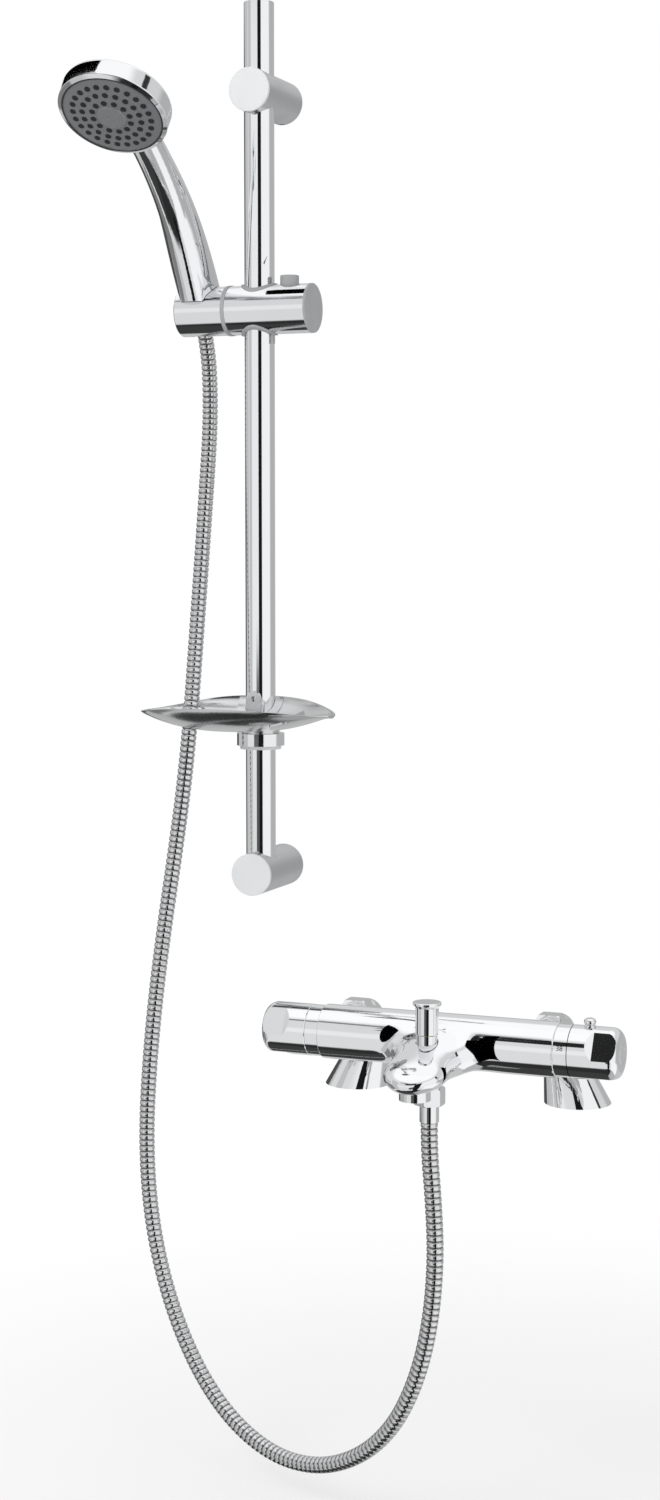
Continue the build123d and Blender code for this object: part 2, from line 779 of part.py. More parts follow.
def cartridge(side, length):
    body = span_x(cartridge_radius, side, bar_half_length - length, bar_half_length)
    body += span_x(cartridge_flange_radius, side, bar_half_length - cartridge_flange, bar_half_length)
    body += span_x(cartridge_nose_radius, side, bar_half_length, nose_end_x)
    return body - span_x(spindle_radius + running, side, spindle_start_x - slip, nose_end_x + overrun)


def spindle_outline(side, low, high, gap):
    # The turning spindle's D shape, or with a gap the socket that it drives
    rod = span_x(spindle_radius + gap, side, low, high)
    flat_z = bar_z + spindle_radius - spindle_flat + gap
    ends = sorted((side * low, side * high))
    flat = block((ends[0], bar_y - spindle_radius - gap, flat_z),
                 (ends[1], bar_y + spindle_radius + gap, flat_z + spindle_radius))
    return rod - flat


def spindle(side):
    rod = span_x(spindle_radius, side, spindle_start_x, nose_end_x)
    rod += spindle_outline(side, nose_end_x, spindle_end_x, 0)
    hole_start = screw_head_x - handle_screw_length
    return rod - span_x(handle_screw_radius, side, hole_start, spindle_end_x + overrun)


def handle_recess(side, angle):
    # Thumb recess: a flat towards the handle's outer end, reached by a ramp
    start = handle_outer_x - recess_length
    high = handle_radius + overrun
    steep = recess_ramp / (handle_radius - recess_plane)
    points = [(start - overrun * steep, high), (start + recess_ramp, recess_plane),
              (handle_outer_x + overrun, recess_plane), (handle_outer_x + overrun, high)]
    outline = make_face(Polyline(*[(side * x, 0, z) for x, z in points], close=True))
    cutter = extrude(outline, handle_radius, both=True)
    return Pos(0, bar_y, bar_z) * Rot(90 - angle, 0, 0) * cutter


def turning_handle(side):
    body = span_x(handle_radius, side, handle_inner_x, handle_outer_x)
    ends = body.edges().sort_by(lambda edge: abs(edge.center().X))
    body = fillet(ends[-1], handle_end_fillet)
    ends = body.edges().sort_by(lambda edge: abs(edge.center().X))
    body = chamfer(ends[0], handle_mouth_chamfer)
    for angle in recess_angles:
        body -= handle_recess(side, angle)
    cavity_end = handle_inner_x + handle_cavity_depth
    body -= span_x(handle_cavity_radius, side, handle_inner_x - overrun, cavity_end)
    body -= spindle_outline(side, handle_inner_x, spindle_end_x + seat, seat)
    body -= span_x(handle_screw_radius + seat, side, handle_inner_x, handle_outer_x)
    body -= span_x(handle_screw_head + seat, side, screw_head_x, handle_outer_x + overrun)
    return body - span_x(handle_cap_radius + seat, side, cap_inner_x, handle_outer_x + overrun)


def temperature_handle():
    body = turning_handle(1)
    return body - along_z(override_radius + running, bar_z, override_top, override_x, bar_y)


def handle_screw(side):
    head_end = screw_head_x + handle_screw_head_height
    screw = span_x(handle_screw_radius, side, screw_head_x - handle_screw_length + seat, screw_head_x)
    screw += span_x(handle_screw_head, side, screw_head_x, head_end)
    socket = Pos(side * head_end, bar_y, bar_z) * Rot(0, -90 * side, 0) * extrude(
        RegularPolygon(handle_screw_radius, 6), handle_screw_head_height / 2)
    return screw - socket


def handle_cap(side):
    cap = span_x(handle_cap_radius, side, cap_inner_x, handle_outer_x)
    edge = cap.edges().sort_by(lambda e: abs(e.center().X))[-1]
    return chamfer(edge, handle_cap_edge)


def override_button():
    # A stem with a narrow waist and a round head, and a flange that keeps it in the handle
    flange_low = override_stem_low - 2 * override_flange
    flange_high = override_stem_low - override_flange
    base = Polyline((override_waist_radius, 0, override_waist), (override_radius, 0, override_neck),
                    (override_radius, 0, flange_high), (override_flange_radius, 0, flange_high),
                    (override_flange_radius, 0, flange_low), (0, 0, flange_low),
                    (0, 0, override_top), (override_flat_radius, 0, override_top))
    knob = ThreePointArc(base @ 1, (override_radius, 0, override_ball), base @ 0)
    return Pos(override_x, bar_y, 0) * revolve(make_face([base, knob]), Axis.Z)


def override_spring():
    low = bar_z + cartridge_nose_radius
    length = override_stem_low - 2 * override_flange - low
    return Pos(override_x, bar_y, low + seat) * coil_spring(
        override_spring_radius, override_spring_wire, override_spring_turns, length - 2 * seat)


# Diverter, aerator and shower outlet on the spout
bush_thread_radius = 8.0
bush_top = 63.4
diverter_spindle_radius = 3.5
knob_low = 64.0
knob_top = 88.0
knob_radius = 8.7
knob_flange_radius = 10.65
knob_flange = 2.6
knob_taper = 1.6
knob_edge = 0.5
plunger_low = 34.0
plunger_radius = 7.6
plunger_thickness = 3.0
spindle_in_knob = 10.0
aerator_radius = 11.75
aerator_low = 20.0
aerator_thread_radius = 10.4
aerator_top = 36.0
aerator_wall = 1.3
aerator_insert_lift = 1.0
aerator_insert_thickness = 6.0
aerator_holes = 8
aerator_hole_radius = 1.3
aerator_hole_share = 0.62
nipple_low = 14.0
nipple_radius = 8.6
nipple_top = 31.0
nipple_bore = 5.0


def diverter_bush():
    bush = along_z(bush_thread_radius, chamber_roof, bush_top, 0, diverter_y)
    return bush - along_z(diverter_spindle_radius + running, chamber_roof - overrun, bush_top + overrun,
                          0, diverter_y)


def diverter_spindle():
    rod = along_z(diverter_spindle_radius, plunger_low, knob_low + spindle_in_knob, 0, diverter_y)
    return rod + along_z(plunger_radius, plunger_low, plunger_low + plunger_thickness, 0, diverter_y)


def diverter_knob():
    under = knob_top - knob_flange
    knob = revolved([(0, knob_low), (knob_radius, knob_low), (knob_radius, under - knob_taper),
                     (knob_flange_radius - knob_edge, under), (knob_flange_radius, under + knob_edge),
                     (knob_flange_radius, knob_top - knob_edge), (knob_flange_radius - knob_edge, knob_top),
                     (0, knob_top)])
    knob -= along_z(diverter_spindle_radius + seat, knob_low - overrun, knob_low + spindle_in_knob + seat)
    return Pos(0, diverter_y, 0) * knob


def aerator_housing():
    ring = along_z(aerator_radius, aerator_low, aerator_seat_z - seat, 0, aerator_y)
    ring += along_z(aerator_thread_radius, aerator_low, aerator_top, 0, aerator_y)
    return ring - along_z(aerator_thread_radius - aerator_wall, aerator_low - overrun, aerator_top + overrun,
                          0, aerator_y)


def aerator_insert():
    low = aerator_low + aerator_insert_lift
    radius = aerator_thread_radius - aerator_wall - seat
    disc = along_z(radius, low, low + aerator_insert_thickness, 0, aerator_y)
    holes = [along_z(aerator_hole_radius, low - overrun, low + aerator_insert_thickness + overrun,
                     radius * aerator_hole_share * cos(2 * pi * step / aerator_holes),
                     aerator_y + radius * aerator_hole_share * sin(2 * pi * step / aerator_holes))
             for step in range(aerator_holes)]
    return disc - holes


def shower_outlet():
    tube = along_z(nipple_radius, nipple_low, nipple_top, 0, outlet_y)
    return tube - along_z(nipple_bore, nipple_low - overrun, nipple_top + overrun, 0, outlet_y)


# Lower end of the hose
lower_nut_flats = 21.0
lower_nut_low = 9.5
lower_nut_height = 13.0
lower_sleeve_radius = 7.3
hose_bottom = -3.6
lower_flange_radius = 8.4
lower_flange = 2.0

lower_washer_top = nipple_low
lower_ferrule_top = lower_washer_top - washer_thickness


def hose_lower_nut():
    nut = Pos(0, outlet_y, lower_nut_low) * hexagon(lower_nut_flats, lower_nut_height)
    shoulder = lower_ferrule_top - lower_flange
    high = lower_nut_low + lower_nut_height + overrun
    nut -= along_z(nipple_radius + seat, shoulder - seat, high, 0, outlet_y)
    return nut - along_z(lower_sleeve_radius + running, lower_nut_low - overrun, shoulder, 0, outlet_y)


def lower_washer():
    washer = along_z(nipple_radius, lower_ferrule_top, lower_washer_top, 0, outlet_y)
    return washer - along_z(hose_bore, lower_ferrule_top - overrun, lower_washer_top + overrun, 0, outlet_y)


def hose_lower_ferrule():
    sleeve = along_z(lower_sleeve_radius, hose_bottom, lower_ferrule_top, 0, outlet_y)
    sleeve += along_z(lower_flange_radius, lower_ferrule_top - lower_flange, lower_ferrule_top, 0, outlet_y)
    return sleeve - along_z(hose_bore, hose_bottom - overrun, lower_ferrule_top + overrun, 0, outlet_y)


# Ribbed shower hose: its route from the handset, through the soap dish, down and round to the mixer
hose_radius = 6.5
hose_groove = 1.1
hose_ribs = 110
rib_crest_share = 0.36
rib_flank_share = 0.2
hose_leaves = [
    (-271.5, 121.0, 559.3),
    (-270.4, 118.0, 519.5),
    (-269.8, 107.6, 465.5),
    (-269.3, 96.4, 405.5),
    (-269.4, 85.8, 345.5),
    (-269.8, 76.0, 285.5),
    (-272.2, 67.2, 225.5),
    (-277.8, 59.4, 165.5),
    (-284.2, 51.8, 105.5),
    (-289.6, 45.0, 46.0),
    (-293.2, 39.4, -13.0),
    (-294.6, 35.2, -72.0),
    (-289.4, 30.6, -129.0),
    (-276.0, 23.6, -180.0),
    (-254.4, 13.8, -226.0),
    (-225.6, 1.6, -264.6),
    (-189.8, -12.6, -292.0),
    (-148.0, -28.4, -305.4),
    (-104.4, -44.0, -301.6),
    (-64.8, -58.0, -281.4),
    (-34.0, -69.4, -250.0),
    (-12.4, -77.8, -208.0),
    (0.6, -83.0, -160.0),
    (5.6, -85.6, -108.0),
    (3.6, -86.4, -62.0),
]
hose_first_run = 20.0
hose_last_run = 22.0
run_share = 0.45


def hose_points():
    start = grip * Pos(0, 0, hose_top)
    leave = grip * Pos(0, 0, hose_top - hose_first_run)
    arrive = (0, outlet_y, hose_bottom - hose_last_run)
    end = (0, outlet_y, hose_bottom)
    return [Vector(*start.position), Vector(*leave.position)] + [Vector(*p) for p in hose_leaves] + [
        Vector(*arrive), Vector(*end)]


def hose_radii(points):
    radii = []
    for before, corner, after in zip(points, points[1:], points[2:]):
        turn = radians((corner - before).get_angle(after - corner))
        shorter = min((corner - before).length, (after - corner).length)
        radii.append(run_share * shorter / tan(turn / 2))
    return radii


def hose_line():
    points = hose_points()
    radii = hose_radii(points)
    print("hose radii", [round(radius) for radius in radii])
    return FilletPolyline(*points, radius=radii)


def hose_rings(line):
    # Four rings for each rib: groove, crest, crest, groove
    length = line.length
    pitch = length / hose_ribs
    low = hose_radius - hose_groove
    rings = []
    for rib in range(hose_ribs):
        start = rib * pitch
        for share, radius in ((0, low), (rib_flank_share, hose_radius),
                              (rib_flank_share + rib_crest_share, hose_radius),
                              (2 * rib_flank_share + rib_crest_share, low)):
            rings.append((start + share * pitch, radius))
    rings.append((length, low))
    return rings


def shower_hose():
    line = hose_line()
    length = line.length
    steady = Vector(0, 1, 0)
    circles = []
    for distance, radius in hose_rings(line):
        spot = line.position_at(distance / length)
        along = line.tangent_at(distance / length)
        across = steady - along * steady.dot(along)
        circles.append(Plane(origin=spot, x_dir=across, z_dir=along) * Circle(radius))
    outside = loft(circles, ruled=True)
    bore_circle = Plane(origin=line @ 0, z_dir=line % 0) * Circle(hose_bore)
    bore = sweep(bore_circle, path=line)
    print("hose length", round(length, 1), "volume", round(outside.volume), "bore", round(bore.volume),
          "bore by section", round(pi * hose_bore ** 2 * length))
    return outside - bore


# Legs that stand the mixer on the deck
deck_spacing = 180.0
union_flats = 27.0
union_length = 13.5
union_gap = 0.3
leg_radius = 10.5
leg_bore = 7.0
leg_bend = 15.0
leg_foot_radius = 17.0
leg_foot_height = 5.0
leg_boss_radius = 14.5
leg_boss_height = 16.0
leg_thread_radius = 12.1
leg_thread_depth = 14.0
leg_flange_radius = 12.1
leg_flange = 2.2
shroud_base_radius = 25.7
shroud_top_radius = 15.6
shroud_height = 37.0
shroud_wall = 1.4
shroud_shift = 11.2
gasket_radius = 23.0
gasket_thickness = 1.6
filter_radius = 11.5
filter_thickness = 2.2
filter_holes = 6
filter_hole_radius = 1.8
filter_hole_share = 0.55

deck_x = deck_spacing / 2
boss_end_y = bar_y + bar_radius + inlet_boss_length
filter_end_y = boss_end_y + filter_thickness
shroud_slope = (shroud_base_radius - shroud_top_radius) / shroud_height


def leg_shape(side, radius):
    # A leaning post from the deck, a quarter bend and a level arm towards the mixer
    top = inlet_height - leg_bend
    x = inlet_x(side)
    post = loft([Pos(side * deck_x, 0, 0) * Circle(radius), Pos(x, 0, top) * Circle(radius)])
    bend = revolve(Pos(x, 0, top) * Circle(radius), Axis((x, -leg_bend, top), (1, 0, 0)), 90)
    arm = along_y(radius, filter_end_y, -leg_bend, x, inlet_height)
    return post + bend + arm


def deck_leg(side):
    x = inlet_x(side)
    leg = leg_shape(side, leg_radius)
    leg += along_z(leg_foot_radius, 0, leg_foot_height, side * deck_x, 0)
    leg += along_z(leg_boss_radius, 0, leg_boss_height, side * deck_x, 0)
    leg += along_y(leg_flange_radius, filter_end_y, filter_end_y + leg_flange, x, inlet_height)
    leg -= leg_shape(side, leg_bore)
    leg -= along_y(leg_bore, filter_end_y - overrun, -leg_bend, x, inlet_height)
    return leg - along_z(leg_thread_radius, -overrun, leg_thread_depth, side * deck_x, 0)


def shroud_cone(side, shrink, low, high):
    # A leaning cone between two heights above the deck, inside the shroud's outline by shrink
    sections = []
    for z in (low, high):
        x = side * (deck_x - shroud_shift * z / shroud_height)
        sections.append(Pos(x, 0, z) * Circle(shroud_base_radius - shroud_slope * z - shrink))
    return loft(sections)


def deck_shroud(side):
    cone_outside = shroud_cone(side, 0, 0, shroud_height)
    return cone_outside - shroud_cone(side, shroud_wall, -overrun, shroud_height + overrun)


def deck_gasket(side):
    ring = along_z(gasket_radius, 0, gasket_thickness, side * deck_x, 0)
    return ring - along_z(leg_foot_radius + seat, -overrun, gasket_thickness + overrun, side * deck_x, 0)


def union_nut(side):
    # The nut turns on the boss's thread and draws the leg's flange on to the filter
    x = inlet_x(side)
    start = bar_y + bar_radius + union_gap
    end = start + union_length
    blank = Rot(-90, 0, 0) * Rot(0, 0, 90) * hexagon(union_flats, union_length)
    nut = Pos(x, start, inlet_height) * blank
    pocket_end = filter_end_y + leg_flange + seat
    nut -= along_y(leg_flange_radius + seat, start - overrun, pocket_end, x, inlet_height)
    return nut - along_y(leg_radius + seat, start - overrun, end + overrun, x, inlet_height)


def inlet_filter(side):
    x = inlet_x(side)
    disc = along_y(filter_radius, boss_end_y, filter_end_y, x, inlet_height)
    ring = filter_radius * filter_hole_share
    holes = [along_y(filter_hole_radius, boss_end_y - overrun, filter_end_y + overrun,
                     x + ring * cos(2 * pi * step / filter_holes),
                     inlet_height + ring * sin(2 * pi * step / filter_holes))
             for step in range(filter_holes)]
    return disc - holes


def pair(piece):
    return Compound([*piece(-1).solids(), *piece(1).solids()])


def main():
    os.makedirs("parts", exist_ok=True)
    keep(rail_tube(), "rail_tube")
    keep(rail_plug(), "rail_top_plug")
    reach = bracket_radius + overrun
    for name, z, low in (("upper", upper_bracket_z, upper_bracket_z - reach),
                         ("lower", lower_bracket_z, rail_bottom - seat)):
        keep(bracket(z, low, z + reach), name + "_bracket")
    for piece, name in ((bracket_cap, "bracket_caps"), (wall_plate, "wall_plates"),
                        (grub_screw, "bracket_grub_screws")):
        keep(Compound([piece(upper_bracket_z), piece(lower_bracket_z)]), name)
    keep(slider_body(), "slider_body")
    keep(slider_bush(), "slider_bush")
    keep(clamp_shoe(), "clamp_shoe")
    keep(slider_end_cap(), "slider_end_cap")
    keep(slider_button(), "slider_button")
    keep(button_spring(), "slider_button_spring")
    keep(swivel_pin(), "swivel_pin")
    keep(swivel_ring(), "swivel_ring")
    keep(handset_holder(), "handset_holder")
    keep(holder_liner(), "holder_liner")
    keep(handset_body(), "handset_body")
    keep(handset_bezel(), "handset_bezel")
    keep(spray_plate(), "spray_plate")
    keep(spray_nozzles(), "spray_nozzles")
    keep(spray_centre(), "spray_centre_disc")
    keep(handset_inlet(), "handset_inlet")
    keep(inlet_washer(), "handset_inlet_washer")
    keep(hose_cone_nut(), "hose_cone_nut")
    keep(hose_upper_ferrule(), "hose_upper_ferrule")
    keep(shower_hose(), "shower_hose")
    keep(hose_lower_ferrule(), "hose_lower_ferrule")
    keep(hose_lower_nut(), "hose_lower_nut")
    keep(lower_washer(), "hose_lower_washer")
    keep(soap_dish(), "soap_dish")
    keep(dish_collar(), "soap_dish_collar")
    keep(dish_bush(), "soap_dish_bush")
    keep(mixer_body(), "mixer_body")
    keep(stop_ring(-1), "flow_ring")
    keep(stop_ring(1), "temperature_ring")
    keep(cartridge(-1, flow_cartridge_length), "flow_cartridge")
    keep(cartridge(1, thermo_cartridge_length), "thermostatic_cartridge")
    keep(spindle(-1), "flow_spindle")
    keep(spindle(1), "temperature_spindle")
    keep(turning_handle(-1), "flow_handle")
    keep(handle_screw(-1), "flow_handle_screw")
    keep(handle_cap(-1), "flow_handle_cap")
    keep(temperature_handle(), "temperature_handle")
    keep(handle_screw(1), "temperature_handle_screw")
    keep(handle_cap(1), "temperature_handle_cap")
    keep(override_button(), "override_button")
    keep(override_spring(), "override_spring")
    keep(diverter_bush(), "diverter_bush")
    keep(diverter_spindle(), "diverter_spindle")
    keep(diverter_knob(), "diverter_knob")
    keep(aerator_housing(), "aerator_housing")
    keep(aerator_insert(), "aerator_insert")
    keep(shower_outlet(), "shower_outlet_nipple")
    keep(pair(union_nut), "union_nuts")
    keep(pair(inlet_filter), "inlet_filters")
    keep(pair(deck_leg), "deck_legs")
    keep(pair(deck_shroud), "deck_shrouds")
    keep(pair(deck_gasket), "deck_gaskets")


main()
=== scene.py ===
import bpy
from math import cos, degrees, radians, sin, sqrt
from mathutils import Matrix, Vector
from mathutils.kdtree import KDTree


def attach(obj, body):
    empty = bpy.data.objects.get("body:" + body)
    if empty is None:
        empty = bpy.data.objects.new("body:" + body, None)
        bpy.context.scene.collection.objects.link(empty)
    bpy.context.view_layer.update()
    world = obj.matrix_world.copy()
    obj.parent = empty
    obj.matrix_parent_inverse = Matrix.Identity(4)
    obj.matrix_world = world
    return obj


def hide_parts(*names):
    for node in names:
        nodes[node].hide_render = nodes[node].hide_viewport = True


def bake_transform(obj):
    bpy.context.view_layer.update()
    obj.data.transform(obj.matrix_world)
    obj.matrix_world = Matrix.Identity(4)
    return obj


print("loading the packed mixer")
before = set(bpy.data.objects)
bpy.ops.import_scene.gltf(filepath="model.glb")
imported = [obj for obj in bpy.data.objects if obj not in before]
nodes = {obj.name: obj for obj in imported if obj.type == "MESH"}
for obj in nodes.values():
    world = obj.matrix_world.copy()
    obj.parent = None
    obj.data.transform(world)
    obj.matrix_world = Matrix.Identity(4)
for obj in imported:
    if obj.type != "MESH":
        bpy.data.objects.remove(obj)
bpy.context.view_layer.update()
scene = bpy.context.scene


def linkObject(name, data):
    piece = bpy.data.objects.new(name, data)
    scene.collection.objects.link(piece)
    return piece


def bakeModifiers(piece):
    # turns a piece with live modifiers into plain mesh
    bpy.context.view_layer.update()
    graph = bpy.context.evaluated_depsgraph_get()
    mesh = bpy.data.meshes.new_from_object(
        piece.evaluated_get(graph), preserve_all_data_layers=True, depsgraph=graph)
    name = piece.name
    bpy.data.objects.remove(piece)
    mesh.name = name
    return linkObject(name, mesh)


def newTree(name, inputs):
    # a geometry tree with its named inputs: (name, socket type, value)
    tree = bpy.data.node_groups.new(name, "GeometryNodeTree")
    tree.interface.new_socket("Geometry", in_out="INPUT", socket_type="NodeSocketGeometry")
    for label, kind, value in inputs:
        socket = tree.interface.new_socket(label, in_out="INPUT", socket_type=kind)
        if value is not None:
            socket.default_value = value
    tree.interface.new_socket("Geometry", in_out="OUTPUT", socket_type="NodeSocketGeometry")
    return tree, tree.nodes.new("NodeGroupInput"), tree.nodes.new("NodeGroupOutput")


def useTree(piece, tree, values):
    # adds the tree to the piece and sets its inputs by identifier
    modifier = piece.modifiers.new(tree.name, "NODES")
    modifier.node_group = tree
    names = {item.name: item.identifier for item in tree.interface.items_tree if item.in_out == "INPUT"}
    for label, value in values.items():
        modifier[names[label]] = value
    return piece


def mathStep(tree, kind, first, second=None):
    # one math node fed by numbers or sockets
    node = tree.nodes.new("ShaderNodeMath")
    node.operation = kind
    for socket, value in zip(node.inputs, (first, second)):
        if value is None:
            continue
        if isinstance(value, (int, float)):
            socket.default_value = value
        else:
            tree.links.new(value, socket)
    return node.outputs[0]


# the camera stands where the photograph was taken from
cameraView = {
    "place": (0.57705, -1.73225, 0.43231), "turn": 21.75, "pitchDown": 5.17,   # metres and degrees
    "lens": 57.11, "sensor": 36,   # mm
}

cameraData = bpy.data.cameras.new("photoCamera")
cameraData.lens = cameraView["lens"]
cameraData.sensor_width = cameraView["sensor"]
cameraObject = linkObject("photoCamera", cameraData)
cameraObject.location = cameraView["place"]
cameraObject.rotation_euler = (radians(90 - cameraView["pitchDown"]), 0, radians(cameraView["turn"]))
scene.camera = cameraObject

# the hose: its route runs from the hand shower down to the mixer, in metres
hose = {
    "route": [
        (-0.2715, 0.10837, 0.60616), (-0.2715, 0.11663, 0.58795), (-0.2715, 0.1210, 0.5593),
        (-0.2704, 0.1180, 0.5195), (-0.2698, 0.1076, 0.4655), (-0.2693, 0.0964, 0.4055),
        (-0.2694, 0.0858, 0.3455), (-0.2698, 0.0760, 0.2855), (-0.2722, 0.0672, 0.2255),
        (-0.2778, 0.0594, 0.1655), (-0.2842, 0.0518, 0.1055), (-0.2896, 0.0450, 0.0460),
        (-0.2932, 0.0394, -0.0130), (-0.2946, 0.0352, -0.0720), (-0.2894, 0.0306, -0.1290),
        (-0.2760, 0.0236, -0.1800), (-0.2544, 0.0138, -0.2260), (-0.2256, 0.0016, -0.2646),
        (-0.1898, -0.0126, -0.2920), (-0.1480, -0.0284, -0.3054), (-0.1044, -0.0440, -0.3016),
        (-0.0648, -0.0580, -0.2814), (-0.0340, -0.0694, -0.2500), (-0.0124, -0.0778, -0.2080),
        (0.0006, -0.0830, -0.1600), (0.0056, -0.0856, -0.1080), (0.0036, -0.0864, -0.0620),
        (0.0, -0.0860, -0.0256), (0.0, -0.0860, -0.0036),
    ],
    "crest": 0.0065, "groove": 0.0011, "pitch": 0.00475, "samples": 8, "sides": 20,
    "grooveEdge": 4.0,   # the higher it is, the narrower the groove between two ribs
    "length": 1.36,
    "sliderSplit": 0.475, "holderSplit": 0.548,   # heights at which the hose is cut into its three stretches
    "blendFrom": 0.15,
}


def routeLine(points):
    # the smooth line that the hose follows
    data = bpy.data.curves.new("hoseRoute", "CURVE")
    data.dimensions = "3D"
    spline = data.splines.new("NURBS")
    spline.points.add(len(points) - 1)
    for point, place in zip(spline.points, points):
        point.co = (*place, 1)
    spline.order_u = 3
    spline.use_endpoint_u = True
    spline.resolution_u = 16
    route = linkObject("hoseRoute", data)
    bpy.context.view_layer.update()
    graph = bpy.context.evaluated_depsgraph_get()
    mesh = bpy.data.meshes.new_from_object(route.evaluated_get(graph), depsgraph=graph)
    line = [vertex.co.copy() for vertex in mesh.vertices]
    bpy.data.objects.remove(route)
    bpy.data.meshes.remove(mesh)
    return line


def ribbedTree():
    tree, given, result = newTree("ribbedHose", [
        ("Step", "NodeSocketFloat", 0.0006), ("Samples", "NodeSocketFloat", 8.0),
        ("Crest Radius", "NodeSocketFloat", 0.0065), ("Groove Depth", "NodeSocketFloat", 0.0011),
        ("Groove Edge", "NodeSocketFloat", 4.0),
        ("Sides", "NodeSocketInt", 20), ("Finish", "NodeSocketMaterial", None)])
    make, link = tree.nodes.new, tree.links.new

    resample = make("GeometryNodeResampleCurve")
    resample.mode = "LENGTH"
    link(given.outputs["Geometry"], resample.inputs["Curve"])
    link(given.outputs["Step"], resample.inputs["Length"])
    index = make("GeometryNodeInputIndex").outputs[0]
    phase = mathStep(tree, "FRACT", mathStep(tree, "DIVIDE", index, given.outputs["Samples"]))
    away = mathStep(tree, "ABSOLUTE", mathStep(tree, "SUBTRACT", mathStep(tree, "MULTIPLY", phase, 2.0), 1.0))
    dip = mathStep(tree, "POWER", away, given.outputs["Groove Edge"])
    depth = mathStep(tree, "MULTIPLY", dip, given.outputs["Groove Depth"])
    radius = mathStep(tree, "SUBTRACT", given.outputs["Crest Radius"], depth)
    # the groove profile, kept for the hose material, which paints shade into the grooves with it
    store = make("GeometryNodeStoreNamedAttribute")
    store.data_type = "FLOAT"
    store.domain = "POINT"
    store.inputs["Name"].default_value = "groove"
    link(resample.outputs[0], store.inputs["Geometry"])
    link(dip, store.inputs["Value"])
    ring = make("GeometryNodeCurvePrimitiveCircle")
    ring.inputs["Radius"].default_value = 1.0
    link(given.outputs["Sides"], ring.inputs["Resolution"])
    skin = make("GeometryNodeCurveToMesh")
    link(store.outputs[0], skin.inputs["Curve"])
    link(ring.outputs[0], skin.inputs["Profile Curve"])
    skin.inputs["Fill Caps"].default_value = True
    link(radius, skin.inputs["Scale"])
    smooth = make("GeometryNodeSetShadeSmooth")
    link(skin.outputs[0], smooth.inputs["Geometry"])
    real = make("GeometryNodeRealizeInstances")
    link(smooth.outputs[0], real.inputs[0])
    paint = make("GeometryNodeSetMaterial")
    link(real.outputs[0], paint.inputs["Geometry"])
    link(given.outputs["Finish"], paint.inputs["Material"])
    link(paint.outputs[0], result.inputs[0])
    return tree


def hoseStretch(name, points, tree, finish):
    # one stretch of the hose as a ribbed tube with whole ribs
    data = bpy.data.curves.new(name, "CURVE")
    data.dimensions = "3D"
    spline = data.splines.new("POLY")
    spline.points.add(len(points) - 1)
    for point, place in zip(spline.points, points):
        point.co = (*place, 1)
    length = sum((b - a).length for a, b in zip(points, points[1:]))
    ribs = max(1, round(length / hose["pitch"]))
    piece = linkObject(name, data)
    useTree(piece, tree, {
        "Step": length / ribs / hose["samples"], "Samples": float(hose["samples"]),
        "Crest Radius": hose["crest"], "Groove Depth": hose["groove"], "Groove Edge": hose["grooveEdge"],
        "Sides": hose["sides"], "Finish": finish})
    return bakeModifiers(piece)


def cutLine(line, low, high):
    # the part of the line between two heights near the rail, with exact ends
    part = []
    for a, b in zip(line, line[1:]):
        for height in (high, low):
            if (a.z - height) * (b.z - height) < 0:
                part.append(a.lerp(b, (height - a.z) / (b.z - a.z)))
        if low < b.z < high:
            part.append(b)
    return part


# every finish is procedural and reads Object coordinates
surfaceNoise = {"detail": 3.0, "low": 0.35, "high": 0.7}


def noiseGroup():
    # slow smudges and fine wear, as a roughness and a bump normal
    group = bpy.data.node_groups.new("handledSurface", "ShaderNodeTree")
    for label, value in (("Smudge Scale", 30.0), ("Fine Scale", 900.0), ("Roughness Low", 0.04),
                         ("Roughness High", 0.1), ("Bump", 0.02), ("Bump Distance", 0.00002)):
        group.interface.new_socket(label, in_out="INPUT", socket_type="NodeSocketFloat").default_value = value
    group.interface.new_socket("Roughness", in_out="OUTPUT", socket_type="NodeSocketFloat")
    group.interface.new_socket("Smudge", in_out="OUTPUT", socket_type="NodeSocketFloat")
    group.interface.new_socket("Normal", in_out="OUTPUT", socket_type="NodeSocketVector")
    make, link = group.nodes.new, group.links.new
    given, result = make("NodeGroupInput"), make("NodeGroupOutput")
    place = make("ShaderNodeTexCoord")
    smudge, fine = make("ShaderNodeTexNoise"), make("ShaderNodeTexNoise")
    for noise, scale in ((smudge, "Smudge Scale"), (fine, "Fine Scale")):
        link(place.outputs["Object"], noise.inputs["Vector"])
        link(given.outputs[scale], noise.inputs["Scale"])
        noise.inputs["Detail"].default_value = surfaceNoise["detail"]
    spread = make("ShaderNodeMapRange")
    spread.inputs["From Min"].default_value = surfaceNoise["low"]
    spread.inputs["From Max"].default_value = surfaceNoise["high"]
    link(smudge.outputs["Fac"], spread.inputs["Value"])
    link(given.outputs["Roughness Low"], spread.inputs["To Min"])
    link(given.outputs["Roughness High"], spread.inputs["To Max"])
    bump = make("ShaderNodeBump")
    link(given.outputs["Bump"], bump.inputs["Strength"])
    link(given.outputs["Bump Distance"], bump.inputs["Distance"])
    link(fine.outputs["Fac"], bump.inputs["Height"])
    link(spread.outputs["Result"], result.inputs["Roughness"])
    link(smudge.outputs["Fac"], result.inputs["Smudge"])
    link(bump.outputs["Normal"], result.inputs["Normal"])
    return group


handledSurface = noiseGroup()


